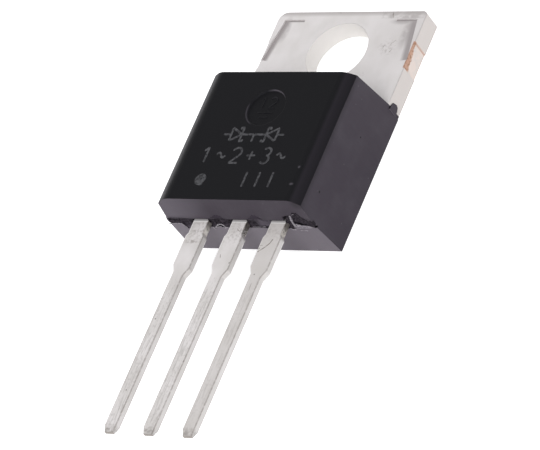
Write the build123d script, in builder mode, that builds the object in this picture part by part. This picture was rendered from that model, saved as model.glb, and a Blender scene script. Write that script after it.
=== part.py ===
from build123d import *
import os
from math import tan, radians, hypot

os.makedirs("parts", exist_ok=True)

# Dual Schottky rectifier in the three-lead TO-220AB outline, in millimetres.
# The origin is on the axis of the mounting hole, at the back face of the tab.
# +X runs across the leads, +Y from the leads towards the tab, +Z out of the marked face.
# Lengths named "below" are measured from the hole axis towards the leads.

# Mounting tab, stamped from the thick part of the copper strip
tab_width = 9.77
tab_thickness = 1.2
tab_above = 2.71             # hole axis to the free end of the tab
hole_diameter = 3.84
tab_left_corner_radius = 0.55
tab_right_corner_radius = 0.3
tie_bar_width = 1.72         # sheared stub of the strip on each side of the tab
tie_bar_above = 0.62         # hole axis to the upper end of the stub
tie_bar_depth = 0.04

# Coined L-shaped marks at the two free corners of the tab
coin_depth = 0.08
coin_side_inset = 0.49       # tab edge to the outer wall of the long arm, at the top
coin_side_lean = 0.45        # the long arm leans this much towards the edge
coin_side_length = 2.75
coin_side_width = 0.5
coin_top_inset = 0.53
coin_top_length = 1.35
coin_top_width = 0.18

# Die pad, the lower part of the same stamping
pad_side_wall = 0.47         # moulding beside the pad, at the back face
pad_root_below = 3.5         # where the tab narrows into the pad
pad_end_below = 11.1
lock_undercut = 0.42         # the pad's back is narrower by this on three sides
lock_height = 0.45           # the undercut's height above the back face
lock_notch_radius = 0.55
lock_notch_below = 4.75

# Leads
lead_pitch = 2.54
lead_front = 2.85            # front face of the leads above the back face
lead_thickness = 0.38
lead_length = 13.41          # from the moulding to the tips
neck_width = 0.96
neck_length = 0.8
neck_taper = 0.2
shoulder_width = 1.16
shoulder_length = 1.97
shoulder_taper = 0.45
pin_width = 0.72
punch_skew = 0.12            # the two edges narrow this much before and after the middle
tip_length = 0.4
tip_width = 0.54
tip_thickness = 0.16
joggle_run = 0.75            # length of the slope that lifts the centre lead off the pad
joggle_radius = 0.35

# Bond posts, the wide inner ends of the outer leads
post_width = 2.45
post_length = 1.25
post_radius = 0.3
post_cover = 0.65            # moulding between the post and the lead end
post_hole_diameter = 0.7

# Dies, solder and bond wires
die_width = 2.5
die_length = 3.2
die_thickness = 0.3
die_spacing = 3.9            # centre to centre
die_below = 7.1
solder_thickness = 0.06
solder_margin = 0.12
wire_diameter = 0.38
wire_pitch = 1.05
wire_foot_length = 0.9
wire_foot_width = 0.56
wire_foot_height = 0.28
wire_seat_height = 0.2       # the wire's centre above its seat, inside a foot
wire_arch = 0.75             # how high the loop bows above the line between its feet
wire_chords = 7
wire_sides = 12              # the round wire is drawn with flat sides

# Moulding
body_width = 9.84            # at the back face
body_height = 4.57
body_top_below = 3.36        # tab end of the moulding, at the back face
body_end_below = 12.3        # lead end of the moulding, at the back face
side_draft = 3.4
top_draft = 7.0
end_draft_back = 4.4         # lead end, below the leads
end_draft_front = 5.6        # lead end, above the leads
bevel_width = 0.565
bevel_height = 0.39
bevel_blend_radius = 0.9
ejector_mark_diameter = 2.38
ejector_mark_depth = 0.09
ejector_mark_below = 6.28
ejector_mark_draft = 30.0

# Trimmed zone across the lead end, where the dam bar closed the mould between the leads
dam_depth = 0.2
dam_above = 0.13             # how far the zone reaches past the front of the leads
dam_under = 0.2              # how far it reaches past their back
dam_lip_width = 0.9          # left end of the zone, where the lower edge stands higher
dam_lip_rise = 0.26
dam_lip_slope = 0.12
dam_notch_drop = 0.22        # beside the left lead, where the zone reaches lowest
dam_chip_width = 0.75        # chips in the upper edge, midway between two leads
dam_chip_rise = 0.32
dam_flash_reach = 0.15       # skin of resin past the left flank, behind the zone
dam_flash_length = 0.35

# Gate broken out of the corner beside the right lead. Its outlines are in shares of the
# run from the lead to the corner, and of the rise from the foot of the zone.
gate_depth = 0.4
gate_corner_depth = 0.14
gate_rise = 1.36             # foot of the zone to the top of the break
gate_hole = (
    (-0.03, -0.05), (-0.03, 0.72), (0.13, 0.80), (0.31, 0.84), (0.23, 0.54), (0.18, 0.19), (0.14, -0.05),
)
gate_pocket = (
    (0.38, 0.82), (0.43, 1.0), (0.59, 0.98), (0.70, 0.70), (0.84, 0.56), (0.93, 0.50), (0.93, 0.22),
    (0.78, 0.20), (0.56, 0.26), (0.38, 0.24), (0.26, 0.18), (0.30, 0.54),
)
gate_corner = ((0.8, 0.48), (0.93, 0.54), (1.06, 0.42), (1.06, 0.12), (0.93, 0.08), (0.8, 0.2))

# Flash on the right flank of the tab, beside the moulding: a ragged skin, broken off below
flash_reach = 0.2            # past the tab end of the moulding
flash_low = 0.34             # lower edge above the back face
flash_high = 1.0
flash_thickness = 0.05

# Derived places
pad_width = body_width - 2 * pad_side_wall
lead_back = lead_front - lead_thickness
body_end_parting = body_end_below + lead_back * tan(radians(end_draft_back))
body_end_front = body_end_parting - (body_height - lead_front) * tan(radians(end_draft_front))
body_top_front = body_top_below + body_height * tan(radians(top_draft))
tip_below = body_end_parting + lead_length
post_end_below = body_end_parting - post_cover
post_centre_below = post_end_below - post_length / 2
die_base = tab_thickness + solder_thickness
die_front = die_base + die_thickness


def side_inset(height):
    # How far the drafted side has come in at a height above the back face.
    return height * tan(radians(side_draft))


def lead_plate(x, inner_below):
    # The flat lead at x, from inside the moulding to the tip, as a plan outline.
    # Each step is a distance below the hole axis and a width.
    neck_end = body_end_parting + neck_length
    shoulder_start = neck_end + neck_taper
    shoulder_end = shoulder_start + shoulder_length
    pin_start = shoulder_end + shoulder_taper
    steps = [
        (inner_below, neck_width),
        (neck_end, neck_width),
        (shoulder_start, shoulder_width),
        (shoulder_end, shoulder_width),
        (pin_start, pin_width),
        (tip_below - tip_length, pin_width),
        (tip_below, tip_width),
    ]
    narrowing = (shoulder_end, pin_start)
    edges = []
    for side in (1, -1):
        edge = []
        for below, width in steps:
            skew = side * punch_skew if below in narrowing else 0
            edge.append((x + side * width / 2, -below - skew))
        edges.append(edge)
    right, left = edges
    with BuildSketch(Plane.XY.offset(lead_back)) as outline:
        with BuildLine():
            Polyline(*right, *reversed(left), close=True)
        make_face()
    extrude(outline.sketch, amount=lead_thickness)
    # The shear leaves the tip thinner towards its end, on both faces.
    shear_drop = (lead_thickness - tip_thickness) / 2
    for face, inward in ((lead_front, -1), (lead_back, 1)):
        with BuildSketch(Plane.YZ.offset(x)) as wedge:
            with BuildLine():
                Polyline(
                    (-tip_below + tip_length, face),
                    (-tip_below, face + inward * shear_drop),
                    (-tip_below, face),
                    close=True,
                )
            make_face()
        extrude(wedge.sketch, amount=pin_width, both=True, mode=Mode.SUBTRACT)


def coined_arm(start, end, width):
    # A groove on the tab's front face: a sharp wall along the line from start to end,
    # and a floor that ramps up to the face on the side of the tab's middle.
    along = (Vector(*end) - Vector(*start)).normalized()
    across = along.cross(Vector(0, 0, 1))
    if across.dot(Vector(0, 0) - Vector(*start)) < 0:
        across = across * -1
    section = Plane(origin=(*start, tab_thickness), x_dir=across, z_dir=along)
    up = 1 if section.y_dir.Z > 0 else -1
    with BuildSketch(section) as groove:
        with BuildLine():
            Polyline(
                (0, up * coin_depth),
                (0, -up * coin_depth),
                (width, 0),
                (width, up * coin_depth),
                close=True,
            )
        make_face()
    length = hypot(end[0] - start[0], end[1] - start[1])
    extrude(groove.sketch, amount=length, mode=Mode.SUBTRACT)


# Header: tab, die pad and centre lead in one stamping
with BuildPart() as header:
    with BuildSketch():
        with Locations((0, (tab_above - pad_root_below) / 2)):
            Rectangle(tab_width, tab_above + pad_root_below)
        fillet(vertices().group_by(Axis.Y)[-1].sort_by(Axis.X)[0], tab_left_corner_radius)
        fillet(vertices().group_by(Axis.Y)[-1].sort_by(Axis.X)[-1], tab_right_corner_radius)
        with Locations((0, -pad_root_below)):
            Rectangle(
                pad_width - 2 * lock_undercut,
                pad_end_below - pad_root_below - lock_undercut,
                align=(Align.CENTER, Align.MAX),
            )
    extrude(amount=tab_thickness)
    # The front of the pad overhangs its back, so that the moulding grips it.
    with BuildSketch(Plane.XY.offset(lock_height)):
        with Locations((0, -pad_root_below)):
            Rectangle(pad_width, pad_end_below - pad_root_below, align=(Align.CENTER, Align.MAX))
    extrude(amount=tab_thickness - lock_height)
    # Half-round notches that the moulding fills
    with BuildSketch():
        with Locations((-pad_width / 2, -lock_notch_below), (pad_width / 2, -lock_notch_below)):
            Circle(lock_notch_radius)
    extrude(amount=tab_thickness, mode=Mode.SUBTRACT)
    with Locations((0, 0, tab_thickness)):
        Hole(hole_diameter / 2)
    # Sheared tie bars
    with BuildSketch():
        with Locations((-tab_width / 2, tie_bar_above), (tab_width / 2, tie_bar_above)):
            Rectangle(2 * tie_bar_depth, tie_bar_width, align=(Align.CENTER, Align.MAX))
    extrude(amount=tab_thickness, mode=Mode.SUBTRACT)
    # Coined marks, mirrored about the middle
    corner_y = tab_above - coin_top_inset
    corner_x = tab_width / 2 - coin_side_inset
    for side in (-1, 1):
        corner = (side * corner_x, corner_y)
        long_end = (side * (corner_x + coin_side_lean), corner_y - coin_side_length)
        top_end = (side * (corner_x - coin_top_length), corner_y)
        coined_arm(corner, long_end, coin_side_width)
        coined_arm(corner, top_end, coin_top_width)
    # Joggle that lifts the centre lead from the pad to the plane of the other leads
    joggle_low = tab_thickness - lead_thickness / 2
    joggle_high = lead_front - lead_thickness / 2
    joggle_start = pad_end_below - lead_thickness
    joggle_top = pad_end_below + joggle_run
    with BuildSketch(Plane.YZ):
        with BuildLine():
            FilletPolyline(
                (-joggle_start, joggle_low),
                (-pad_end_below - lead_thickness / 2, joggle_low),
                (-joggle_top, joggle_high),
                (-body_end_parting, joggle_high),
                radius=joggle_radius,
            )
        trace(line_width=lead_thickness)
    extrude(amount=neck_width / 2, both=True)
    lead_plate(0, joggle_top + lead_thickness)
header.part.label = "header"


def outer_lead(side):
    # The lead with its bond post, a wide plate inside the moulding.
    with BuildPart() as lead:
        lead_plate(side * lead_pitch, post_centre_below)
        with BuildSketch(Plane.XY.offset(lead_back)):
            with Locations((side * lead_pitch, -post_centre_below)):
                RectangleRounded(post_width, post_length, post_radius)
        extrude(amount=lead_thickness)
        # A hole beside the lead's root, which the moulding fills
        with BuildSketch(Plane.XY.offset(lead_back)):
            with Locations((side * (lead_pitch + post_width / 3), -post_end_below + post_radius)):
                Circle(post_hole_diameter / 2)
        extrude(amount=lead_thickness, mode=Mode.SUBTRACT)
    return lead.part


lead_left = outer_lead(-1)
lead_left.label = "lead_left"
lead_right = outer_lead(1)
lead_right.label = "lead_right"


def solder_layer(side):
    with BuildPart() as solder:
        with BuildSketch(Plane.XY.offset(tab_thickness)):
            with Locations((side * die_spacing / 2, -die_below)):
                RectangleRounded(
                    die_width + 2 * solder_margin, die_length + 2 * solder_margin, solder_margin
                )
        extrude(amount=solder_thickness)
    return solder.part


def schottky_die(side):
    with BuildPart() as die:
        with BuildSketch(Plane.XY.offset(die_base)):
            with Locations((side * die_spacing / 2, -die_below)):
                Rectangle(die_width, die_length)
        extrude(amount=die_thickness)
    return die.part


solder_left = solder_layer(-1)
solder_left.label = "solder_left"
solder_right = solder_layer(1)
solder_right.label = "solder_right"
die_left = schottky_die(-1)
die_left.label = "die_left"
die_right = schottky_die(1)
die_right.label = "die_right"


def bond_wire(side, place):
    # Aluminium wire from a die to its bond post. Place is -1 for the wire nearer the
    # centre lead and 1 for the outer one. Each end is a foot flattened by the bonding tool.
    shift = place * wire_pitch / 2
    on_die = Vector(side * (die_spacing / 2 + shift), -die_below, die_front)
    on_post = Vector(side * (lead_pitch + shift), -post_centre_below, lead_front)
    reach = Vector(on_post.X - on_die.X, on_post.Y - on_die.Y, 0)
    run = reach.length
    rise = on_post.Z - on_die.Z
    # The wire's own plane stands upright on the line between its two feet. In it, the loop
    # is a parabola, drawn as short chords with mitred joints.
    upright = Plane(origin=on_die, x_dir=reach, z_dir=reach.cross(Vector(0, 0, 1)))
    loop = []
    for chord_end in range(wire_chords + 1):
        share = chord_end / wire_chords
        bow = 4 * wire_arch * share * (1 - share)
        loop.append((run * share, wire_seat_height + rise * share + bow))
    with BuildPart() as wire:
        with BuildLine(upright) as path:
            Polyline(*loop)
        with BuildSketch(Plane(origin=path.line @ 0, z_dir=path.line % 0)):
            RegularPolygon(wire_diameter / 2, wire_sides)
        sweep(transition=Transition.RIGHT)
        for foot in (on_die, on_post):
            with BuildSketch(Plane(origin=foot, x_dir=reach, z_dir=(0, 0, 1))):
                foot_outline = Rectangle(wire_foot_length, wire_foot_width)
                chamfer(foot_outline.vertices(), wire_foot_width / 4)
            extrude(amount=wire_foot_height)
    return wire.part


wires = {}
for side_name, side in (("left", -1), ("right", 1)):
    for place_name, place in (("inner", -1), ("outer", 1)):
        name = f"wire_{side_name}_{place_name}"
        wires[name] = bond_wire(side, place)
        wires[name].label = name

# Moulding: the epoxy block, cast around the pieces above
with BuildPart() as moulding:
    # Side view: upright back edge, two drafts on the lead end, one on the tab end
    with BuildSketch(Plane.YZ):
        with BuildLine():
            Polyline(
                (-body_end_below, 0),
                (-body_end_parting, lead_back),
                (-body_end_parting, lead_front),
                (-body_end_front, body_height),
                (-body_top_front, body_height),
                (-body_top_below, 0),
                close=True,
            )
        make_face()
    extrude(amount=body_width, both=True)
    # End view: drafted sides and the two long bevels
    half = body_width / 2
    bevel_start = body_height - bevel_height
    bevel_outer = half - side_inset(bevel_start)
    with BuildSketch(Plane.XZ):
        with BuildLine():
            Polyline(
                (-half, 0),
                (half, 0),
                (bevel_outer, bevel_start),
                (bevel_outer - bevel_width, body_height),
                (bevel_width - bevel_outer, body_height),
                (-bevel_outer, bevel_start),
                close=True,
            )
        make_face()
    extrude(amount=2 * body_end_below, both=True, mode=Mode.INTERSECT)
    fillet(moulding.edges().filter_by(Axis.Y).group_by(Axis.Z)[-1], bevel_blend_radius)
    # Round mark of the ejector pin in the front face
    with BuildSketch(Plane.XY.offset(body_height)):
        with Locations((0, -ejector_mark_below)):
            Circle(ejector_mark_diameter / 2)
    extrude(amount=-ejector_mark_depth, taper=ejector_mark_draft, mode=Mode.SUBTRACT)
    # Trimmed zone between and beside the leads
    zone_top = lead_front + dam_above
    zone_bottom = lead_back - dam_under
    zone_wall = body_end_parting - dam_depth
    zone_right = lead_pitch + neck_width / 2
    lip_top = zone_bottom + dam_lip_rise
    lip_right = dam_lip_width - half
    notch_bottom = zone_bottom - dam_notch_drop
    zone_outline = [
        (-half, lip_top),
        (lip_right, lip_top),
        (lip_right + dam_lip_slope, notch_bottom),
        (-zone_right, notch_bottom),
        (-lead_pitch, zone_bottom),
        (zone_right, zone_bottom),
        (zone_right, zone_top),
    ]
    for chip in (lead_pitch / 2, -lead_pitch / 2):
        zone_outline += [
            (chip + dam_chip_width / 2, zone_top),
            (chip + dam_chip_width / 4, zone_top + dam_chip_rise / 2),
            (chip, zone_top + dam_chip_rise),
            (chip - dam_chip_width / 2, zone_top),
        ]
    with BuildSketch(Plane.XZ.offset(zone_wall)):
        with BuildLine():
            Polyline(*zone_outline, (-half, zone_top), close=True)
        make_face()
    extrude(amount=2 * dam_depth, mode=Mode.SUBTRACT)
    # Skin of resin that leaked round the left flank behind the zone
    flank = half - side_inset(lip_top)
    with BuildSketch(Plane.XZ.offset(zone_wall)):
        with BuildLine():
            Polyline(
                (-flank + dam_depth, zone_bottom),
                (-flank, zone_bottom),
                (-flank - dam_flash_reach, lip_top),
                (-flank - dam_flash_reach, lip_top + dam_flash_reach),
                (-flank, zone_top),
                (-flank + dam_depth, zone_top),
                close=True,
            )
        make_face()
    extrude(amount=-dam_flash_length)
    # Broken-out gate: a hole beside the lead, a thin sliver left standing, a slanting pocket
    # and a shallow bite out of the corner
    gate_run = flank - zone_right
    broken = ((gate_hole, gate_depth), (gate_pocket, gate_depth), (gate_corner, gate_corner_depth))
    for outline, depth in broken:
        placed = [(zone_right + gate_run * along, zone_bottom + gate_rise * up) for along, up in outline]
        with BuildSketch(Plane.XZ.offset(body_end_parting - depth)):
            with BuildLine():
                Polyline(*placed, close=True)
            make_face()
        extrude(amount=2 * depth, mode=Mode.SUBTRACT)
    # The skin of moulding on the right flank of the tab is chipped off up to the flash
    with BuildSketch(Plane.YZ.offset(tab_width / 2)):
        with BuildLine():
            Polyline(
                (-pad_root_below - flash_reach, 0),
                (-body_top_below, 0),
                (-body_top_below, flash_low),
                (-pad_root_below, flash_low),
                close=True,
            )
        make_face()
    extrude(amount=body_width / 2, mode=Mode.SUBTRACT)
    # Flash that ran along the same flank, drawn from the pad outwards
    flash_rise = flash_high - flash_low
    with BuildSketch(Plane.YZ.offset(pad_width / 2)):
        with BuildLine():
            Polyline(
                (-pad_root_below - flash_reach, flash_low),
                (-body_top_below - flash_reach / 2, flash_low),
                (-body_top_below + flash_reach * 0.7, flash_low + flash_rise * 0.15),
                (-body_top_below + flash_reach, flash_low + flash_rise * 0.4),
                (-body_top_below + flash_reach * 0.6, flash_low + flash_rise * 0.85),
                (-body_top_below - flash_reach / 2, flash_high),
                (-pad_root_below - flash_reach, flash_high),
                close=True,
            )
        make_face()
    extrude(amount=(tab_width - pad_width) / 2 + flash_thickness)
    # Seats of everything that the moulding was cast around
    cast_in = [header.part, lead_left, lead_right, solder_left, solder_right, die_left, die_right]
    for piece in cast_in + list(wires.values()):
        add(piece, mode=Mode.SUBTRACT)
moulding.part.label = "moulding"

export_step(moulding.part, "parts/moulding.step")
export_step(header.part, "parts/header.step")
export_step(lead_left, "parts/lead_left.step")
export_step(lead_right, "parts/lead_right.step")
export_step(solder_left, "parts/solder_left.step")
export_step(solder_right, "parts/solder_right.step")
export_step(die_left, "parts/die_left.step")
export_step(die_right, "parts/die_right.step")
for name, wire in wires.items():
    export_step(wire, f"parts/{name}.step")
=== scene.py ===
# Dual Schottky diode in a three-lead screw-tab package: finishes, laser marking, broken
# resin, scratches and studio
import math
import bmesh
import bpy
import numpy as np
from mathutils import Matrix, Vector


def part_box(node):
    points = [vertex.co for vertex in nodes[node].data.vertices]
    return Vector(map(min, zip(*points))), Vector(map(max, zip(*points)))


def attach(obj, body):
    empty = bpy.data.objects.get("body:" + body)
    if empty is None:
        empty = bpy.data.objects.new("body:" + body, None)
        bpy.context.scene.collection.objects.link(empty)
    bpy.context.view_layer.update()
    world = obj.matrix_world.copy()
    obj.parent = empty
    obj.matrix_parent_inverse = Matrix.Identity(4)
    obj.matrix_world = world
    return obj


mm = 0.001                      # the frame is in metres, the sizes below in millimetres

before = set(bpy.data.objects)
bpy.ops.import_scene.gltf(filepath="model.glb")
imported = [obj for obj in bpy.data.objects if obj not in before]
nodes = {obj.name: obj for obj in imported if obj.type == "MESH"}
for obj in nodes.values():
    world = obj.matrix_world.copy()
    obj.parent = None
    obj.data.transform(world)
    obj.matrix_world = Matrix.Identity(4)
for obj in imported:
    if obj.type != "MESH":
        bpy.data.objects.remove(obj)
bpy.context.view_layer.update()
print("frame loaded:", len(nodes), "solids")


def nodeBox(name):
    # lowest and highest corner of one solid
    low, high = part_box(name)
    return np.array(low) / mm, np.array(high) / mm


bodyLow, bodyHigh = nodeBox("moulding")
headerHigh = nodeBox("header")[1]
leadLow, leadHigh = nodeBox("lead_right")
leadPitch = (leadLow[0] + leadHigh[0]) / 2
leadBack, leadFront = leadLow[2], leadHigh[2]
tabFront = nodeBox("solder_left")[0][2]      # the dies are soldered onto the tab's front
tabSide, tabTop = headerHigh[0], headerHigh[1]
faceHeight = bodyHigh[2]                     # the marked front face
leadEnd, tabEnd = bodyLow[1], bodyHigh[1]    # the body's two ends
tips = leadLow[1]


def linear(hexText):
    # sRGB hex to linear: the low end divided by 12.92, the rest raised to 2.4
    srgb = np.array([int(hexText[i:i + 2], 16) for i in (1, 3, 5)]) / 255
    values = np.where(srgb <= 0.04045, srgb / 12.92, ((srgb + 0.055) / 1.055) ** 2.4)
    return (*values.tolist(), 1.0)


def addNode(tree, kind, settings=None, links=None):
    # a number names an input by its place, a word an input or, failing that, a setting
    node = tree.nodes.new("ShaderNode" + kind)
    for key, value in (settings or {}).items():
        if isinstance(key, int) or key in node.inputs:
            node.inputs[key].default_value = value
        else:
            setattr(node, key, value)
    for key, source in (links or {}).items():
        tree.links.new(source, node.inputs[key])
    return node


def startMaterial(name, noises):
    # an empty material and the fields that its layers can read: the place, the way the
    # surface faces, and the finish's own noises, each with its grain along x, y and z
    material = bpy.data.materials.new(name)
    material.use_nodes = True
    tree = material.node_tree
    tree.nodes.clear()
    coords = addNode(tree, "TexCoord")
    place = addNode(tree, "VectorMath", {"operation": "SCALE", "Scale": 1 / mm},
                    {0: coords.outputs["Object"]}).outputs[0]
    where = addNode(tree, "SeparateXYZ", links={0: place})
    facing = addNode(tree, "SeparateXYZ", links={0: coords.outputs["Normal"]})
    fields = dict(place=place)
    for axis in "XYZ":
        fields[axis.lower()] = where.outputs[axis]
        fields["face" + axis] = facing.outputs[axis]
    for key, (grain, detail) in noises.items():
        scaled = addNode(tree, "Mapping", {"Scale": [1 / size for size in grain]},
                         {"Vector": place})
        fields[key] = addNode(tree, "TexNoise", {"Scale": 1.0, "Detail": detail},
                              {"Vector": scaled.outputs[0]}).outputs[0]
    return material, tree, fields


spotCore = 0.4                  # the share of a spot's half size that has its full tone


def nearSpots(tree, place, spots):
    # 1 in the middle of each spot and 0 outside it, by the length of the offset from its
    # centre divided by its half sizes; where spots overlap, the larger value counts
    field = None
    for centre, reach in spots:
        away = addNode(tree, "VectorMath", {"operation": "SUBTRACT", 1: centre}, {0: place})
        away = addNode(tree, "VectorMath", {"operation": "DIVIDE", 1: reach}, {0: away.outputs[0]})
        away = addNode(tree, "VectorMath", {"operation": "LENGTH"}, {0: away.outputs[0]})
        near = addNode(tree, "MapRange", {"From Min": 1.0, "From Max": spotCore},
                       {"Value": away.outputs["Value"]}).outputs[0]
        field = near if field is None else addNode(tree, "Math", {"operation": "MAXIMUM"},
                                                   {0: field, 1: near}).outputs[0]
    return field


def layColours(tree, fields, base, layers):
    # each layer's tone is laid over the ones before it, by its share times all its ramps; a
    # ramp is 0 where its field has the first value and 1 where it has the second
    colour = None
    for tone, share, ramps in layers:
        mask = None
        for field, start, end in ramps:
            most = share if mask is None else 1.0
            ramp = addNode(tree, "MapRange", {"From Min": start, "From Max": end, "To Max": most},
                           {"Value": fields[field]}).outputs[0]
            mask = ramp if mask is None else addNode(tree, "Math", {"operation": "MULTIPLY"},
                                                     {0: mask, 1: ramp}).outputs[0]
        under = {} if colour is None else {6: colour}
        colour = addNode(tree, "Mix", {"data_type": "RGBA", 6: linear(base), 7: linear(tone)},
                         {0: mask, **under}).outputs[2]
    return colour


# Epoxy moulding compound, transfer moulded in a spark-eroded cavity: near black and dull,
# smoother on the front than on the flanks. The silica filler is 0.02 to 0.08 mm across and
# shows as a fine grain, drawn at the coarse end of that.
markAt, markRadius, markDepth = -6.28, 1.19, 0.09      # the ejector mark on the front
bevelFoot = faceHeight - 0.39                          # where the long bevels meet the flanks
offFront, onEnd = ("faceZ", 0.78, 0.45), ("faceY", -0.5, -0.9)
endBelowLeads = ("z", leadFront, leadBack)                # the lead end below the leads' front
belowFront = ("z", faceHeight - 0.2, faceHeight - 0.12)
inMark = ("markAway", markRadius + 0.1, markRadius + 0.05)
markWall = (("faceZ", 0.98, 0.9), belowFront, inMark)
epoxy = dict(
    noises=dict(grain=((0.07,) * 3, 3.0), cloud=((1.6,) * 3, 4.0), drag=((0.12, 0.12, 2.2), 3.0)),
    base="#0c0c10",
    layers=(
        ("#3d3740", 1.0, (offFront,)),
        ("#4b454d", 0.6, (offFront, ("y", leadEnd + 4.5, tabEnd))),
        # painted light: the whole lead end a little paler than the flanks
        ("#48424a", 0.8, (onEnd,)),
        # painted light makes the long bevels a little paler than the front, and painted shade
        # darkens the flank beside the right one
        ("#3d3740", 0.3, (("faceZ", 0.97, 0.9), ("x", 4.9, 4.15))),
        ("#0c0c10", 0.45, (offFront, ("z", bevelFoot - 0.35, bevelFoot - 0.03), ("x", 4.0, 4.3))),
        # the lead end below the leads' front is painted paler, most of all to the left, as the
        # reflected glow of the bright floor that it leans towards
        ("#6f6971", 1.0, (onEnd, endBelowLeads)),
        ("#837d85", 0.6, (onEnd, endBelowLeads, ("x", 3.4, 0.6))),
        ("#6a646d", 0.7, (onEnd, ("x", -1.6, -4.2), ("z", leadFront, leadFront + 0.4))),
        # handling dust lies in soft patches on the flanks
        ("#5f5b62", 0.2, (("cloud", 0.45, 0.8), offFront)),
        # single pale filler grains
        ("#9a969b", 0.09, (("speck", 0.09, 0.04), offFront)),
        # the wall of the ejector mark is as dark as the front, with painted highlights at two ends
        ("#17171b", 1.0, markWall),
        ("#57535a", 0.8, markWall + (("y", markAt + 0.5 * markRadius, markAt + 0.8 * markRadius),
                                     ("x", -0.4, 0.1))),
        ("#38353b", 0.9, (("markAway", markRadius + 0.08, markRadius + 0.05),
                          ("markAway", markRadius - 0.04, markRadius), ("x", -0.45, -0.75),
                          ("y", markAt + 0.3, markAt),
                          ("z", faceHeight - 0.3, faceHeight - 0.2))),
        # two chips by the right bevel, and the painted shade of two pits in the right flank
        ("#47444a", 1.0, (("chip", 0.0, 1.0),)),
        ("#121114", 1.0, (("pit", 0.0, 1.0),))),
    chips=(((3.84, -10.14, 4.57), (0.1, 0.1, 0.3)), ((3.8, -11.24, 4.57), (0.16, 0.1, 0.3))),
    pits=(((4.7, -10.83, 3.31), (0.4, 0.09, 0.09)), ((4.75, -6.4, 2.1), (0.4, 0.07, 0.06))),
    speckPitch=0.64, frontRoughness=0.46, flankRoughness=0.6, dragRoughness=0.14, specular=0.14,
    grainHeight=0.004, grainStrength=0.6, edgeRadius=0.05)


def makeEpoxy():
    # markAway is the distance from the mark's axis, worked out with the height left out
    material, tree, fields = startMaterial("mouldedEpoxy", epoxy["noises"])
    speck = addNode(tree, "TexVoronoi", {"Scale": 1 / epoxy["speckPitch"]},
                    {"Vector": fields["place"]})
    fields["speck"] = speck.outputs["Distance"]
    fields["chip"] = nearSpots(tree, fields["place"], epoxy["chips"])
    fields["pit"] = nearSpots(tree, fields["place"], epoxy["pits"])
    flat = addNode(tree, "VectorMath", {"operation": "MULTIPLY", 1: (1, 1, 0)},
                   {0: fields["place"]})
    away = addNode(tree, "VectorMath", {"operation": "DISTANCE", 1: (0, markAt, 0)},
                   {0: flat.outputs[0]})
    fields["markAway"] = away.outputs["Value"]
    colour = layColours(tree, fields, epoxy["base"], epoxy["layers"])
    # rougher off the front, streaked by drag lines where the flanks slid out of the cavity
    level = addNode(tree, "MapRange", {"From Min": 0.55, "From Max": 0.95,
                                       "To Min": epoxy["flankRoughness"],
                                       "To Max": epoxy["frontRoughness"]},
                    {"Value": fields["faceZ"]})
    wobble = addNode(tree, "Math", {"operation": "MULTIPLY_ADD", 1: epoxy["dragRoughness"],
                                    2: -epoxy["dragRoughness"] / 2}, {0: fields["drag"]})
    roughness = addNode(tree, "Math", {"operation": "ADD", "use_clamp": True},
                        {0: level.outputs[0], 1: wobble.outputs[0]})
    softEdge = addNode(tree, "Bevel", {"samples": 6, "Radius": epoxy["edgeRadius"] * mm})
    bump = addNode(tree, "Bump", {"Strength": epoxy["grainStrength"],
                                  "Distance": epoxy["grainHeight"] * mm},
                   {"Height": fields["grain"], "Normal": softEdge.outputs[0]})
    shader = addNode(tree, "BsdfPrincipled",
                     {"IOR": 1.55, "Specular IOR Level": epoxy["specular"]},
                     {"Base Color": colour, "Roughness": roughness.outputs[0],
                      "Normal": bump.outputs[0]})
    addNode(tree, "OutputMaterial", links={0: shader.outputs[0]})
    return material


# Matte tin, electroplated over stamped copper: a soft pale grey with rolling lines along
# the strip, dirt and painted shade in the sheared edges, resin stains by the moulding, bare
# copper at the tie bars. Its crystals are a few thousandths of a millimetre across and the
# rolling lines as fine, so both are drawn coarser to show.
onLeads, onTab = ("y", tabEnd, leadEnd), ("y", tabEnd - 0.6, tabEnd - 0.2)
upwards, onSide = ("faceZ", 0.4, 0.6), ("faceX", 0.5, 0.8)
leftLead = ("x", -0.5 * leadPitch, -0.7 * leadPitch)
rightLead = ("x", 0.5 * leadPitch, 0.7 * leadPitch)
neck = (("y", leadEnd - 1.1, leadEnd - 0.66), ("y", leadEnd + 1.2, leadEnd + 1.0),
        ("sideways", 0.5, 0.8))
pastShoulder = ("y", leadEnd - 3.4, leadEnd - 4.6)
grooveDepth = 0.08
tieLow, tieHigh = -1.10, 0.62
tieBar = (("x", tabSide - 0.12, tabSide - 0.07), ("y", tieLow - 0.03, tieLow),
          ("y", tieHigh + 0.06, tieHigh + 0.02))
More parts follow.
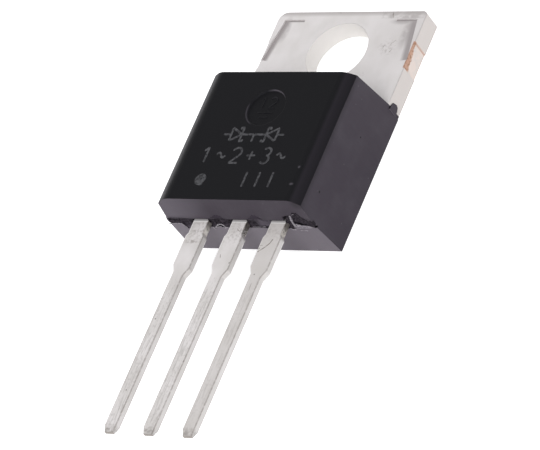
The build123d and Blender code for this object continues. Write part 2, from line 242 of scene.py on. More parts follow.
tin = dict(
    noises=dict(crystals=((0.09,) * 3, 3.0), rolling=((0.05, 3.0, 0.05), 2.0),
                patches=((1.1, 1.6, 1.1), 3.0), streak=((0.06, 0.8, 0.06), 4.0),
                mottle=((0.5,) * 3, 4.0), dirt=((0.16,) * 3, 4.0)),
    base="#e7e3e2",
    layers=(
        ("#dad6d3", 0.6, (("patches", 0.4, 0.66),)),
        # painted shade: the tab's front darker towards its right side
        ("#cfcac9", 0.4, (onTab, upwards, ("x", 1.0, 3.4), ("y", -1.8, -0.2))),
        # painted light makes the wall of the mounting hole bright on the left
        ("#fdfaf6", 0.65, (("faceZ", 0.5, 0.2), onTab, ("x", 1.2, 0.6), ("x", -2.2, -2.1),
                           ("y", 2.2, 2.1))),
        # the leads are a little duller, streaked past their shoulders and clouded by the body
        ("#d8d4d1", 0.7, (onLeads, ("patches", 0.3, 0.6))),
        ("#9c9792", 0.55, (onLeads, upwards, ("streak", 0.5, 0.7), pastShoulder)),
        ("#a39e99", 0.3, (onLeads, upwards, ("dirt", 0.52, 0.68), pastShoulder)),
        ("#b3ada8", 0.6, (onLeads, upwards, ("y", leadEnd - 1.7, leadEnd - 0.9),
                          ("dirt", 0.46, 0.68))),
        # painted highlights along the leads' left front edges, between the body and the shoulders
        ("#fbf9f7", 0.8, (onLeads, ("edge", -0.04, -0.3), ("y", leadEnd - 4.6, leadEnd - 3.6))),
        ("#c9c4c0", 0.5, (onLeads, rightLead, upwards)),
        # the shear left the tab's right side duller, and scuffed its upper rim
        ("#d9d2ce", 0.85, (("x", tabSide - 0.2, tabSide - 0.1), onSide, onTab)),
        ("#b5afad", 0.7, (("x", 1.95, 2.1), ("y", tabTop - 0.52, tabTop - 0.44), upwards,
                          ("mottle", 0.62, 0.45))),
        ("#b2acaa", 0.7, (("y", tabTop - 0.34, tabTop - 0.12), upwards)),
        # painted shade along the tab's right front edge
        ("#b2acaa", 0.5, (onTab, ("x", tabSide - 0.3, tabSide - 0.15), ("edge", 0.04, 0.4))),
        # painted shade makes the wall of the mounting hole duller on the right
        ("#b3ada9", 0.8, (onTab, ("x", 0.7, 1.3), ("faceX", -0.3, -0.7), ("x", 2.2, 2.0))),
        # dirt in specks, and painted shade along the right front edges of the leads, broken up by
        # the dirt noise
        ("#67615c", 0.75, (("speck", 0.075, 0.045), onLeads)),
        ("#8b837d", 0.65, (onLeads, ("edge", 0.06, 0.3), ("dirt", 0.2, 0.5))),
        # the coined grooves are painted darker with their depth, and painted shade lies on the tab
        # beside them
        ("#9d9696", 0.88, (("z", tabFront - 0.004, tabFront - 0.5 * grooveDepth), upwards, onTab,
                           ("z", tabFront - 2 * grooveDepth, tabFront - 1.5 * grooveDepth))),
        ("#a39c9c", 0.55, (("shade", 0.0, 1.0), upwards, ("mottle", 0.1, 0.45))),
        ("#b0a8a5", 0.5, (("scuff", 0.0, 1.0), ("dirt", 0.46, 0.6))),
        ("#a09993", 0.5, (("smudge", 0.0, 1.0), ("dirt", 0.36, 0.52))),
        # resin bleed darkens the narrow necks, and over it they are pale in patches, palest on the
        # left lead
        ("#4b4541", 0.9, neck + (("dirt", 0.2, 0.5),)),
        ("#fbf6ef", 0.97, neck + (leftLead, ("dirt", 0.75, 0.5))),
        ("#cec8c0", 0.9, neck + (rightLead, ("dirt", 0.8, 0.45))),
        # a painted highlight where each lead comes out, with a thin painted shadow in the corner
        ("#fbfaf8", 0.8, (("y", leadEnd - 0.1, leadEnd - 0.07), upwards, onLeads)),
        ("#8f8a8d", 0.6, (("y", leadEnd - 0.05, leadEnd - 0.03), upwards, onLeads)),
        # the necks are darkest by the body, with pale flecks further out
        ("#4b4541", 0.8, neck + (("y", leadEnd - 0.6, leadEnd - 0.2),)),
        ("#e2dcd6", 0.8, neck + (("crystals", 0.54, 0.6), ("y", leadEnd - 0.3, leadEnd - 0.5))),
        # the sheared tie bar on the right bares the copper: a faint blush, a band along the
        # front edge that widens towards the leads, and a line down the upper end
        ("#f6e4da", 0.5, (("mottle", 0.3, 0.55),) + tieBar),
        ("#c49a84", 1.0, (("wander", 1.04, 1.12),) + tieBar),
        ("#c49a84", 0.55, (("y", tieHigh - 0.1, tieHigh - 0.04),) + tieBar),
        ("#8f6a4a", 0.7, (("wander", 1.04, 1.12), ("dirt", 0.5, 0.62)) + tieBar),
        # the cut tips are bare and grey
        ("#7a746e", 0.8, (("y", tips + 0.5, tips + 0.2), ("dirt", 0.2, 0.75))),
        ("#a09993", 1.0, (("y", tips + 0.04, tips + 0.01),))),
    # spots as centres and half sizes, on the tab's front and on the leads' front
    scuffs=(((3.25, 0.3, 1.2), (0.75, 0.7, 0.4)), ((2.32, -1.51, 1.2), (0.2, 0.2, 0.4)),
            ((2.7, 2.45, 1.2), (0.12, 0.24, 0.4)), ((-0.91, 2.67, 1.2), (0.3, 0.09, 0.4)),
            ((-2.6, -13.84, 2.85), (0.5, 0.16, 0.3)), ((2.2, -13.0, 2.85), (0.2, 0.25, 0.3)),
            ((0.25, -13.1, 2.85), (0.2, 0.3, 0.3))),
    shades=(((4.08, 1.3, 1.2), (0.42, 1.3, 0.3)), ((3.6, 2.02, 1.2), (1.0, 0.26, 0.3)),
            ((-4.1, 1.5, 1.2), (0.36, 1.0, 0.3)), ((-4.62, 0.3, 1.2), (0.16, 0.9, 0.3))),
    smudges=(((-2.6, -13.86, 2.85), (0.55, 0.14, 0.3)), ((-2.55, -13.2, 2.85), (0.4, 0.12, 0.3))),
    speckPitch=0.75, metallic=0.12, roughness=(0.42, 0.62), grainHeight=0.003, grainStrength=0.5,
    edgeRadius=0.04, lineRadius=0.13, bandSlope=-0.17, bandWander=0.3)


def makeTin():
    material, tree, fields = startMaterial("matteTinPlate", tin["noises"])
    speck = addNode(tree, "TexVoronoi", {"Scale": 1 / tin["speckPitch"]},
                    {"Vector": fields["place"]})
    fields["speck"] = speck.outputs["Distance"]
    for spot in ("scuff", "shade", "smudge"):
        fields[spot] = nearSpots(tree, fields["place"], tin[spot + "s"])
    fields["sideways"] = addNode(tree, "Math", {"operation": "ABSOLUTE"},
                                 {0: fields["faceX"]}).outputs[0]
    # edge is the softened normal's x times its z: above 0 along the right front edges, where
    # it leans both right and up, and below 0 along the left ones
    softLine = addNode(tree, "Bevel", {"samples": 8, "Radius": tin["lineRadius"] * mm})
    lean = addNode(tree, "SeparateXYZ", links={0: softLine.outputs[0]})
    fields["edge"] = addNode(tree, "Math", {"operation": "MULTIPLY"},
                             {0: lean.outputs["X"], 1: lean.outputs["Z"]}).outputs[0]
    # the copper band's edge: the height less a share of y, made to wander by the dirt noise
    slope = addNode(tree, "Math", {"operation": "MULTIPLY_ADD", 1: tin["bandSlope"]},
                    {0: fields["y"], 2: fields["z"]})
    fields["wander"] = addNode(tree, "Math", {"operation": "MULTIPLY_ADD", 1: tin["bandWander"]},
                               {0: fields["dirt"], 2: slope.outputs[0]}).outputs[0]
    colour = layColours(tree, fields, tin["base"], tin["layers"])
    roughness = addNode(tree, "MapRange", {"To Min": tin["roughness"][0],
                                           "To Max": tin["roughness"][1]},
                        {"Value": fields["rolling"]})
    softEdge = addNode(tree, "Bevel", {"samples": 6, "Radius": tin["edgeRadius"] * mm})
    bump = addNode(tree, "Bump", {"Strength": tin["grainStrength"],
                                  "Distance": tin["grainHeight"] * mm},
                   {"Height": fields["crystals"], "Normal": softEdge.outputs[0]})
    shader = addNode(tree, "BsdfPrincipled", {"Metallic": tin["metallic"]},
                     {"Base Color": colour, "Roughness": roughness.outputs[0],
                      "Normal": bump.outputs[0]})
    addNode(tree, "OutputMaterial", links={0: shader.outputs[0]})
    return material


# Two-tone finishes: the second tone comes in as the grain noise rises from the first share
# to the second; size is the grain's width
twoTone = dict(
    # the beam chars the resin and bares pale filler: a rough dull grey
    laserEtchedEpoxy=dict(tones=("#2e2e31", "#505053"), size=0.16, share=(0.35, 0.6),
                          roughness=0.8, specular=0.3),
    # resin crushed by the trimming punch, rough and dark, its darkness also the painted shade of
    # the
    # recess behind it: it thins out towards the upper rim into the colour of the lead end, and is
    # paler on the right
    crushedEpoxyAndShade=dict(tones=("#1c191e", "#4a444c"), size=0.13, share=(0.38, 0.72),
                      roughness=0.95, specular=0.1, layers=(
                          ("#625c65", 0.9, (("x", 0.9, 1.3), ("x", 2.6, 2.3), ("z", 2.4, 2.5))),
                          ("#57515a", 0.85, (("z", 2.44, 2.14),)),
                          ("#3d3740", 1.0, (("z", leadFront + 0.05, leadFront + 0.24),)))),
    # resin snapped off at the gate: rough, and darker still as painted shade of its pocket
    brokenEpoxyAndShade=dict(tones=("#29252b", "#4b464c"), size=0.09, share=(0.44, 0.75),
                     roughness=0.95, specular=0.1),
    # thin skins of resin, grey with a violet cast, some standing as painted light on ledges that
    # face up
    epoxySkinAndLitLedges=dict(tones=("#605b63", "#a8a3a9"), size=0.09, share=(0.3, 0.62),
                       roughness=0.7, specular=0.3),
    # soot and flux rubbed into scratches
    handlingGrime=dict(tones=("#857d77", "#a59e98"), size=0.12, share=(0.35, 0.65),
                       roughness=0.85, specular=0.3),
    # sawn silicon with an evaporated top: cool grey and even
    metallisedSilicon=dict(tones=("#565a63", "#a9adb5"), size=0.5, share=(0.4, 0.6),
                           roughness=0.3, metallic=0.6),
    # solder reflowed in the furnace: dull, with a frosted skin
    reflowedSolder=dict(tones=("#85878a", "#b2b3b5"), size=0.2, share=(0.35, 0.65),
                        roughness=0.5, metallic=0.7),
    # aluminium drawn through a die: bright with lengthwise lines
    drawnAluminium=dict(tones=("#b9bcc0", "#dadcdf"), size=0.08, share=(0.3, 0.7),
                        roughness=0.32, metallic=0.9))


def makeTwoTone(name):
    # the bump is a twentieth of the grain's width deep
    finish = twoTone[name]
    material, tree, fields = startMaterial(name, dict(grain=((finish["size"],) * 3, 3.0)))
    under, over = finish["tones"]
    grained = ((over, 1.0, (("grain",) + finish["share"],)),)
    colour = layColours(tree, fields, under, grained + finish.get("layers", ()))
    bump = addNode(tree, "Bump", {"Strength": 0.5, "Distance": 0.05 * finish["size"] * mm},
                   {"Height": fields["grain"]})
    shader = addNode(tree, "BsdfPrincipled",
                     {"Roughness": finish["roughness"], "Metallic": finish.get("metallic", 0.0),
                      "Specular IOR Level": finish.get("specular", 0.5)},
                     {"Base Color": colour, "Normal": bump.outputs[0]})
    addNode(tree, "OutputMaterial", links={0: shader.outputs[0]})
    return material


materials = {name: makeTwoTone(name) for name in twoTone}
materials["mouldedEpoxy"] = makeEpoxy()
materials["matteTinPlate"] = makeTin()
finishOf = dict(moulding="mouldedEpoxy", header="matteTinPlate", lead="matteTinPlate",
                die="metallisedSilicon", solder="reflowedSolder", wire="drawnAluminium")
for name, node in nodes.items():
    node.material_slots[0].material = materials[finishOf[name.split("_")[0]]]
print("materials made:", len(materials))


def carriedProfile(path, side, up, halfWidth, halfHeight, around=8):
    # each path point plus cos(angle) times half the width sideways plus sin(angle) times
    # half the height upwards
    angle = np.linspace(0, 2 * np.pi, around, endpoint=False)[None, :, None]
    across = np.cos(angle) * side[:, None, :] * halfWidth[:, None, None]
    upright = np.sin(angle) * np.asarray(up, float) * halfHeight[:, None, None]
    return path[:, None, :] + across + upright


weld = 0.00002                  # grid points closer than this, in millimetres, are one


def gridPiece(name, grids, material):
    # every grid becomes quads between its neighbouring rows and columns, closed round the
    # profile; rows drawn together to a point or a line close its ends
    corners, faces, start = [], [], 0
    for grid in grids:
        rows, columns = grid.shape[:2]
        index = start + np.arange(rows * columns).reshape(rows, columns)
        following = np.roll(index, -1, axis=1)
        quads = np.stack([index[:-1], following[:-1], following[1:], index[1:]], axis=-1)
        corners.append(grid.reshape(-1, 3))
        faces.append(quads.reshape(-1, 4))
        start += rows * columns
    corners, faces = np.concatenate(corners), np.concatenate(faces)
    mesh = bpy.data.meshes.new(name)
    mesh.vertices.add(len(corners))
    mesh.vertices.foreach_set("co", (corners * mm).ravel())
    mesh.loops.add(faces.size)
    mesh.loops.foreach_set("vertex_index", faces.ravel().astype(np.int32))
    mesh.polygons.add(len(faces))
    mesh.polygons.foreach_set("loop_start", np.arange(0, faces.size, 4, dtype=np.int32))
    mesh.update(calc_edges=True)
    work = bmesh.new()
    work.from_mesh(mesh)
    bmesh.ops.remove_doubles(work, verts=work.verts, dist=weld * mm)
    bmesh.ops.recalc_face_normals(work, faces=work.faces)
    work.to_mesh(mesh)
    work.free()
    mesh.polygons.foreach_set("use_smooth", np.ones(len(mesh.polygons), dtype=bool))
    mesh.materials.append(materials[material])
    piece = bpy.data.objects.new(name, mesh)
    bpy.context.scene.collection.objects.link(piece)
    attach(piece, "root")


def arc(centre, radius, start, end, count=24):
    # points at even angles round the centre
    angle = np.radians(np.linspace(start, end, count))
    return np.asarray(centre) + radius * np.stack([np.cos(angle), np.sin(angle)], axis=1)


def evenPath(points, step):
    # the same line with points an even step apart, by interpolating along its length
    points = np.asarray(points, float)
    along = np.concatenate([[0], np.cumsum(np.linalg.norm(np.diff(points, axis=0), axis=1))])
    count = max(6, int(along[-1] / step) + 1)
    want = np.linspace(0, along[-1], count)
    return np.stack([np.interp(want, along, column) for column in points.T], axis=1), want


ripplePaces = (31, 13)          # two sines, in radians per millimetre, roughen a bead's edges


def strokeGrid(points, normal, width, lift, step, wander=0.0, phase=0.0):
    # a flat bead along the points, as wide as the width with a ripple of two sines, whose
    # ends close as half circles: the share of the width is the root of 1 - (1 - reach)^2
    path, along = evenPath(points, step)
    tangent = np.gradient(path, axis=0)
    tangent /= np.linalg.norm(tangent, axis=1)[:, None]
    side = np.cross(np.asarray(normal, float)[None, :], tangent)
    reach = np.minimum(along, along[-1] - along)
    cap = np.sqrt(np.clip(1 - (1 - np.clip(reach / (width / 2), 0, 1)) ** 2, 0, 1))
    quick, slow = ripplePaces
    ripple = 1 + wander * np.sin(along * quick + phase) * np.sin(along * slow + 2 * phase)
    return carriedProfile(path, side, normal, width / 2 * cap * ripple, lift * cap)


# Generic marking: the circuit sign of the diode pair, pin numbers with their signs, an
# index dot by the first lead and three bars for the three leads. Heights are above the
# lead end.
marking = dict(legend=("one", "wave", "two", "plus", "three", "wave"),
               strokeWidth=0.14, lift=0.006, step=0.05, wander=0.12, symbolAbove=4.42,
               legendAbove=2.55, legendShift=-0.1, glyphHeight=1.0, glyphWidth=0.6, glyphPitch=0.98,
               barsAbove=1.0, barsFrom=0.35, barPitch=0.85, barCount=3,
               dotAt=(-2.2, 1.48), dotRadius=0.36, dotTurn=18.0, dotPoints=90)


def glyphStrokes():
    # every glyph in a box one high and 0.6 wide
    wave = np.linspace(0, 1, 20)
    return {
        "one": [[(0.08, 0.76), (0.32, 1.0), (0.32, 0.0)]],
        "two": [np.concatenate([arc((0.3, 0.7), 0.29, 165, -38), [(0.02, 0.0), (0.6, 0.0)]])],
        "three": [np.concatenate([arc((0.29, 0.75), 0.25, 150, -85),
                                  arc((0.3, 0.26), 0.27, 85, -150)])],
        "wave": [np.stack([0.6 * wave, 0.5 + 0.16 * np.sin(2 * np.pi * wave)], axis=1)],
        "plus": [[(0.0, 0.5), (0.6, 0.5)], [(0.3, 0.2), (0.3, 0.8)]],
        "bar": [[(0.3, 0.0), (0.3, 1.0)]],
    }


def diodePairStrokes():
    # two triangles pointing at hooked bars, joined in the middle, each anode led outwards
    one = [[(-2.0, 0.0), (-1.5, 0.0)],
           [(-1.5, -0.42), (-1.5, 0.42), (-0.8, 0.0), (-1.5, -0.42)],
           [(-0.97, 0.3), (-0.97, 0.45), (-0.8, 0.45), (-0.8, -0.45), (-0.63, -0.45),
            (-0.63, -0.3)],
           [(-0.8, 0.0), (0.0, 0.0)]]
    other = [[(-x, y) for x, y in stroke] for stroke in one]
    return one + other + [[(0.0, 0.0), (0.0, -0.5)]]


def placeStrokes(strokes, corner, height=1.0):
    # every point times the height, plus the corner
    return [np.asarray(stroke, float) * height + corner for stroke in strokes]


def makeMarking():
    # every stroke becomes a bead on the front face
    glyphs, legend = glyphStrokes(), marking["legend"]
    placed = placeStrokes(diodePairStrokes(), (0.0, leadEnd + marking["symbolAbove"]))
    for place, glyph in enumerate(legend):
        left = ((place - (len(legend) - 1) / 2) * marking["glyphPitch"]
                - marking["glyphWidth"] / 2 + marking["legendShift"])
        placed += placeStrokes(glyphs[glyph], (left, leadEnd + marking["legendAbove"]),
                               marking["glyphHeight"])
    for place in range(marking["barCount"]):
        left = marking["barsFrom"] + marking["barPitch"] * place
        placed += placeStrokes(glyphs["bar"], (left, leadEnd + marking["barsAbove"]))
    # the dot is burnt as a spiral of touching turns: the radius grows evenly with the angle
    turns = np.linspace(0, 1, marking["dotPoints"])
    angle = marking["dotTurn"] * turns
    centre = np.array(marking["dotAt"]) + (0.0, leadEnd)
    spiral = centre + (marking["dotRadius"] * turns * np.stack([np.cos(angle), np.sin(angle)])).T
    grids = []
    for number, stroke in enumerate(placed + [spiral]):
        onFace = np.column_stack([stroke, np.full(len(stroke), faceHeight)])
        grids.append(strokeGrid(onFace, (0, 0, 1), marking["strokeWidth"], marking["lift"],
                                marking["step"], marking["wander"], number))
    gridPiece("pinMarking", grids, "laserEtchedEpoxy")


makeMarking()
print("marking etched")


# Cavity number, raised in the ejector mark by the engraved end of the pin
cavity = dict(digits=("one", "two"), height=0.72, pitch=0.62, digitsLeft=0.9, width=0.08,
              rise=0.03, bars=(((-0.5, -0.3), (0.5, -0.3)), ((-0.3, -0.6), (0.3, -0.6))))


def makeCavityNumber():
    # the digits over two bars, centred on the mark, each stroke a bead on its floor
    glyphs, placed, grids = glyphStrokes(), [], []
    for place, digit in enumerate(cavity["digits"]):
        corner = ((place - cavity["digitsLeft"]) * cavity["pitch"], 0.0)
        placed += placeStrokes(glyphs[digit], corner, cavity["height"])
    placed += placeStrokes(cavity["bars"], (0.0, 0.0))
    for stroke in placed:
        floor = np.full(len(stroke), faceHeight - markDepth)
        grids.append(strokeGrid(np.column_stack([stroke + (0.0, markAt), floor]), (0, 0, 1),
                                cavity["width"], cavity["rise"], marking["step"]))
    gridPiece("cavityNumber", grids, "mouldedEpoxy")


makeCavityNumber()
print("cavity number raised")


# Lead end: resin broken away where the dam bar was trimmed and the gate was snapped off,
# left as dark skins that also carry the painted shade of these recesses.
# Each stretch is rows of x, lower edge and upper edge, the edges above the back face.
trimming = dict(
    backDraft=4.4, frontDraft=5.6, proud=0.012, sink=0.08, relief=0.05, backing=0.1,
    columns=70, rows=16, fullHeight=0.4, rimSteepness=4, jag=0.03, jagPaces=(9, 21, 38),
    reliefPaces=(11, 46), reliefWaves=7,
    dam=(((-4.74, 2.62, 2.64), (-4.6, 2.57, 3.02), (-4.24, 2.55, 3.07), (-3.92, 2.53, 3.05),
          (-3.8, 2.1, 3.02), (-3.36, 1.98, 2.98), (-3.08, 1.9, 2.9), (-3.0, 2.4, 2.42)),
         ((-2.08, 2.3, 2.32), (-2.04, 2.2, 2.98), (-1.86, 2.24, 3.06), (-1.51, 2.5, 3.27),
          (-1.3, 2.42, 3.29), (-1.1, 2.3, 3.26), (-0.95, 2.28, 3.03), (-0.6, 2.3, 2.95),
          (-0.47, 2.4, 2.42)),
         ((0.47, 2.3, 2.32), (0.52, 2.3, 3.0), (0.77, 2.4, 3.15), (1.08, 2.38, 3.36),
          (1.3, 2.37, 3.32), (1.48, 2.38, 3.0), (1.8, 2.42, 2.86), (2.0, 2.45, 2.9),
          (2.07, 2.6, 2.62))),
    gate=(((3.0, 2.4, 2.42), (3.03, 2.2, 2.95), (3.24, 2.22, 3.3), (3.4, 2.4, 3.38),
           (3.48, 2.7, 3.3), (3.52, 3.0, 3.02)),
          ((3.62, 3.3, 3.32), (3.68, 2.92, 3.46), (3.9, 2.84, 3.56), (4.09, 2.7, 3.47),
           (4.36, 2.62, 3.13), (4.55, 2.42, 3.07), (4.72, 2.5, 2.98), (4.755, 2.7, 2.72))))


def endFace(z):
    # the lead end leans back from the parting zone, by its draft below and above the leads
    below = np.clip(leadBack - z, 0, None) * math.tan(math.radians(trimming["backDraft"]))
    above = np.clip(z - leadFront, 0, None) * math.tan(math.radians(trimming["frontDraft"]))
    return leadEnd + below + above


def brokenSkin(stretch, seed, flush):
    # a closed skin over one stretch: its front follows the lead end, proud at the rim and sunk
    # inside by the root of the distance from the rim, roughened by a sum of sines of the place,
    # and comes level with the lead end between the two flush heights
    table = np.asarray(stretch, float)
    x = np.linspace(table[0, 0], table[-1, 0], trimming["columns"])
    low, high = (np.interp(x, table[:, 0], table[:, column]) for column in (1, 2))
    draws = np.random.default_rng(seed)
    jag = 0
    for pace in trimming["jagPaces"]:
        size, phases = draws.uniform(0.3, 1), draws.uniform(0, 6, 2)
        jag = jag + size * np.sin(x[:, None] * pace + phases)
    room = np.clip((high - low) / trimming["fullHeight"], 0, 1)[:, None]
    room[[0, -1]] = 0            # rear and front meet at both ends, which closes the skin
    low, high = (np.stack([low, high], axis=1) + trimming["jag"] * jag * room).T
    share = np.linspace(0, 1, trimming["rows"])
    z = low[:, None] + (high - low)[:, None] * share
    inside = np.minimum(np.minimum(share, 1 - share) * trimming["rimSteepness"], 1) * room
    (slow, fast), waves = trimming["reliefPaces"], trimming["reliefWaves"]
    rough = sum(np.sin(x[:, None] * alongX + z * alongZ + phase) for alongX, alongZ, phase
                in draws.uniform((slow, slow, 0), (fast, fast, 6), (waves, 3))) / waves
    level = 1 - np.clip((z - flush[0]) / (flush[1] - flush[0]), 0, 1)
    depth = trimming["sink"] + trimming["relief"] * rough
    front = endFace(z) - trimming["proud"] + level * np.sqrt(inside) * depth
    back = endFace(z) + trimming["backing"] + trimming["sink"]
    wide = np.broadcast_to(x[:, None], z.shape)
    face = np.stack([wide, front, z], axis=-1)
    rear = np.stack([wide, np.where(inside > 0, back, front), z], axis=-1)
    return np.concatenate([face, rear[:, ::-1][:, 1:-1]], axis=1)


def makeBreaks():
    # the trimmed dam bar comes level within its height, the snapped gate only above it
    breaks = (("dam", 11, "crushedEpoxyAndShade", (2.9, 3.08)), ("gate", 41, "brokenEpoxyAndShade", (3.6, 3.8)))
    for name, seed, material, flush in breaks:
        grids = [brokenSkin(stretch, seed + number, flush)
                 for number, stretch in enumerate(trimming[name])]
        gridPiece(name + "Break", grids, material)


makeBreaks()
print("breaks made")


# Thin slivers of resin left standing on the lead end, some of them painted light on ledges
# that face up: points in x and z, then a width
slivers = dict(
    stand=0.02, step=0.03, wander=0.35,
    lines=(((-4.9, 2.5), (-4.39, 2.55), (-4.02, 2.53), (-3.96, 2.33), (-3.9, 2.1), 0.05),
           ((-1.98, 2.17), (-1.76, 2.4), (-1.58, 2.52), (-1.39, 2.52), (-1.31, 2.42),
            (-1.26, 2.22), 0.09),
           ((-1.38, 2.13), (-1.24, 2.24), (-1.12, 2.2), 0.08),
           ((-1.83, 2.23), (-1.63, 2.32), (-1.49, 2.3), 0.06),
           ((-2.2, 2.27), (-2.12, 2.16), (-2.08, 1.96), 0.08),
           ((0.6, 2.36), (1.0, 2.35), (1.46, 2.38), 0.03),
           ((3.51, 3.37), (3.49, 3.18), (3.44, 2.91), (3.43, 2.67), (3.42, 2.44), 0.13),
           ((3.57, 2.72), (3.62, 2.6), (3.84, 2.56), 0.16),
           ((3.45, 2.46), (3.84, 2.48), (4.2, 2.5), (4.51, 2.42), 0.08),
           ((3.1, 2.2), (3.25, 2.2), (3.55, 2.33), (3.94, 2.37), (4.4, 2.36), 0.05),
           ((3.47, 2.07), (3.74, 2.11), (4.0, 2.06), 0.035),
           ((2.98, 2.3), (3.06, 2.17), (3.28, 2.12), 0.06),
           ((3.68, 3.42), (3.8, 3.5), (3.86, 3.47), 0.03)))


def makeSlivers():
    # each line becomes a bead on the lead end, at the y that its height has there
    grids = []
    for number, line in enumerate(slivers["lines"]):
        flat = np.asarray(line[:-1], float)
        spine = np.column_stack([flat[:, 0], endFace(flat[:, 1]), flat[:, 1]])
        grids.append(strokeGrid(spine, (0, -1, 0), line[-1], slivers["stand"], slivers["step"],
                                slivers["wander"], number))
    gridPiece("sliversAndLitLedges", grids, "epoxySkinAndLitLedges")


makeSlivers()


# The ragged skin that stands past the left flank at the parting plane: lower edge, upper
# edge and how far it stands out, along y from the lead end
leftSkin = dict(alongEnd=(0.0, 0.05, 0.12, 0.2, 0.3, 0.42), low=(2.6, 2.5, 2.48, 2.5, 2.52, 2.6),
                high=(2.98, 3.08, 3.1, 3.0, 2.85, 2.64), stand=(0.06, 0.1, 0.12, 0.08, 0.05, 0.0),
                sideDraft=3.4, sunk=0.05, inset=0.01, rows=24, around=20)


def makeLeftSkin():
    # a lens section that leans with the flank: its outer edge stands out by a half sine and
    # its inner edge is sunk by the other half
    along = np.linspace(0, leftSkin["alongEnd"][-1], leftSkin["rows"])
    low, high, stand = (np.interp(along, leftSkin["alongEnd"], leftSkin[key])
                        for key in ("low", "high", "stand"))
    angle = np.linspace(0, 2 * np.pi, leftSkin["around"], endpoint=False)
    outer, inner = (np.clip(way * np.sin(angle), 0, None) for way in (1, -1))
    z = (low + high)[:, None] / 2 + (high - low)[:, None] / 2 * np.cos(angle)
    flank = -bodyHigh[0] + z * math.tan(math.radians(leftSkin["sideDraft"]))
    x = flank - stand[:, None] * outer + leftSkin["sunk"] * inner
    y = np.broadcast_to((leadEnd + leftSkin["inset"] + along)[:, None], z.shape)
    grid = np.stack([x, y, z], axis=-1)
    first, last = (np.broadcast_to(grid[row].mean(axis=0), grid[row].shape)[None]
                   for row in (0, -1))
    gridPiece("leftFlankSkin", [np.concatenate([first, grid, last])], "mouldedEpoxy")


makeLeftSkin()
print("slivers made")


# Handling marks as dark hairlines on the tab's front and the leads' front: points in x and
# y, then a width
scratches = dict(
    stand=0.004, step=0.04, wander=0.4,
    tab=(((2.9, 0.1), (2.98, 0.42), 0.02), ((3.45, -0.05), (3.6, 0.14), 0.02),
         ((3.3, 0.42), (3.62, 0.78), 0.018), ((2.62, 2.66), (2.7, 2.44), (2.78, 2.28), 0.04),
         ((-0.95, 2.66), (-0.8, 2.63), 0.04)),
    leads=(((2.0, -14.43), (2.37, -14.1), (2.56, -13.86), (2.66, -13.58), 0.06),
           ((1.98, -14.02), (2.2, -13.98), 0.025),
           ((0.05, -12.95), (0.22, -13.12), (0.36, -13.08), 0.025),
           ((-0.3, -14.6), (-0.22, -14.9), 0.03), ((2.5, -16.4), (2.54, -16.9), 0.03)))


def makeScratches():
    # each line becomes a very flat bead at the height of its face
    grids = []
    for key, height in (("tab", tabFront), ("leads", leadFront)):
        for number, line in enumerate(scratches[key]):
            flat = np.asarray(line[:-1], float)
            spine = np.column_stack([flat, np.full(len(flat), height)])
            grids.append(strokeGrid(spine, (0, 0, 1), line[-1], scratches["stand"],
                                    scratches["step"], scratches["wander"], number))
    gridPiece("handlingScratches", grids, "handlingGrime")


makeScratches()
print("scratches made")


# The light: a pale tent, brightest low down, one large soft lamp and a small one high
# behind; a white paper floor. In watts and metres.
studio = dict(worldLow="#ffffff", worldHigh="#b6b6b8", lowUpTo=0.08, highFrom=0.5,
              keyPower=1.75, keySize=0.4, keyFrom=(0.12, -0.24, 0.48),
              stripPower=0.06, stripSize=0.1, stripFrom=(-0.14, 0.26, 0.48),
              floorColour="#f0f0f0", floorGlow=0.6, floorRoughness=0.9, floorSize=4.0,
              floorDrop=0.00002)


def makeLamp(name, power, size, place):
    # a disk that faces the origin
    lamp = bpy.data.lights.new(name, "AREA")
    lamp.shape = "DISK"
    lamp.size = size
    lamp.energy = power
    holder = bpy.data.objects.new(name, lamp)
    bpy.context.scene.collection.objects.link(holder)
    holder.location = place
    holder.rotation_euler = (-Vector(place)).to_track_quat("-Z", "Y").to_euler()


def makeTent():
    # the world goes smoothly from one tone to the other with the height of the ray
    world = bpy.data.worlds.new("lightTent")
    world.use_nodes = True
    tree = world.node_tree
    tree.nodes.clear()
    coords = addNode(tree, "TexCoord")
    split = addNode(tree, "SeparateXYZ", links={0: coords.outputs["Generated"]})
    height = addNode(tree, "MapRange", {"interpolation_type": "SMOOTHSTEP",
                                        "From Min": studio["lowUpTo"],
                                        "From Max": studio["highFrom"]},
                     {"Value": split.outputs["Z"]})
    colour = addNode(tree, "Mix", {"data_type": "RGBA", 6: linear(studio["worldLow"]),
                                   7: linear(studio["worldHigh"])}, {0: height.outputs[0]})
    background = addNode(tree, "Background", {"Strength": 1.0}, {"Color": colour.outputs[2]})
    addNode(tree, "OutputWorld", links={0: background.outputs[0]})
    bpy.context.scene.world = world


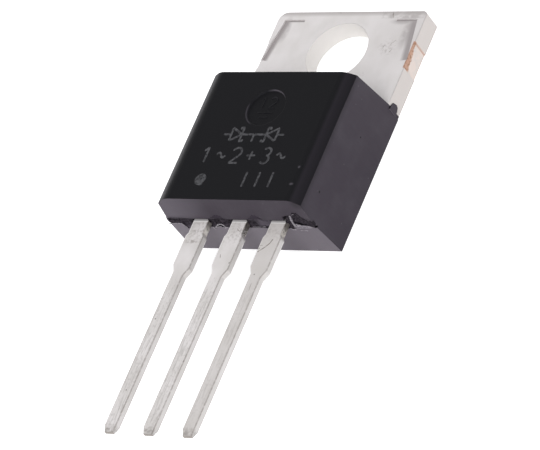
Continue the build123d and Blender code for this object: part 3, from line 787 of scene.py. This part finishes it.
def makeFloor():
    # paper that glows a little where it is seen straight, mirrored or through glass
    half, drop = studio["floorSize"] / 2, -studio["floorDrop"]
    mesh = bpy.data.meshes.new("paperFloor")
    mesh.from_pydata([(-half, -half, drop), (half, -half, drop), (half, half, drop),
                      (-half, half, drop)], [], [(0, 1, 2, 3)])
    floor = bpy.data.objects.new("paperFloor", mesh)
    bpy.context.scene.collection.objects.link(floor)
    material = bpy.data.materials.new("whitePaper")
    material.use_nodes = True
    tree = material.node_tree
    tree.nodes.clear()
    ray = addNode(tree, "LightPath")
    seen = addNode(tree, "Math", {"operation": "MAXIMUM"},
                   {0: ray.outputs["Is Camera Ray"], 1: ray.outputs["Is Glossy Ray"]})
    seen = addNode(tree, "Math", {"operation": "MAXIMUM"},
                   {0: seen.outputs[0], 1: ray.outputs["Is Transmission Ray"]})
    glow = addNode(tree, "Math", {"operation": "MULTIPLY", 1: studio["floorGlow"]},
                   {0: seen.outputs[0]})
    shader = addNode(tree, "BsdfPrincipled",
                     {"Base Color": linear(studio["floorColour"]),
                      "Roughness": studio["floorRoughness"], "Emission Color": (1, 1, 1, 1)},
                     {"Emission Strength": glow.outputs[0]})
    addNode(tree, "OutputMaterial", links={0: shader.outputs[0]})
    mesh.materials.append(material)


makeTent()
makeLamp("keySoftbox", studio["keyPower"], studio["keySize"], studio["keyFrom"])
makeLamp("overheadStrip", studio["stripPower"], studio["stripSize"], studio["stripFrom"])
makeFloor()


# The view: a long lens, well above the lead end and turned to the right flank. Angles in
# degrees, distance and aim in millimetres.
view = dict(azimuth=52.046, elevation=41.476, roll=-39.091, distance=256.2,
            aim=(1.310, -12.094, 2.0), lens=324.0, sensor=36.0, clipStart=0.01)


def makeCamera():
    # back points from the aim to the camera; level and upright turn by the roll about it
    azimuth, elevation, roll = (math.radians(view[key]) for key in ("azimuth", "elevation", "roll"))
    back = Vector((math.sin(azimuth) * math.cos(elevation),
                   -math.cos(azimuth) * math.cos(elevation), math.sin(elevation)))
    level = Vector((0, 0, 1)).cross(back).normalized()
    upright = back.cross(level)
    right = math.cos(roll) * level + math.sin(roll) * upright
    up = math.cos(roll) * upright - math.sin(roll) * level
    data = bpy.data.cameras.new("longLens")
    data.sensor_width = view["sensor"]
    data.lens = view["lens"]
    data.clip_start = view["clipStart"]
    camera = bpy.data.objects.new("longLens", data)
    bpy.context.scene.collection.objects.link(camera)
    turn = Matrix((right, up, back)).transposed().to_4x4()
    stand = (Vector(view["aim"]) + view["distance"] * back) * mm
    camera.matrix_world = Matrix.Translation(stand) @ turn
    bpy.context.scene.camera = camera


makeCamera()
bpy.context.scene.view_settings.view_transform = "Standard"
print("studio and camera set")

bpy.context.view_layer.update()
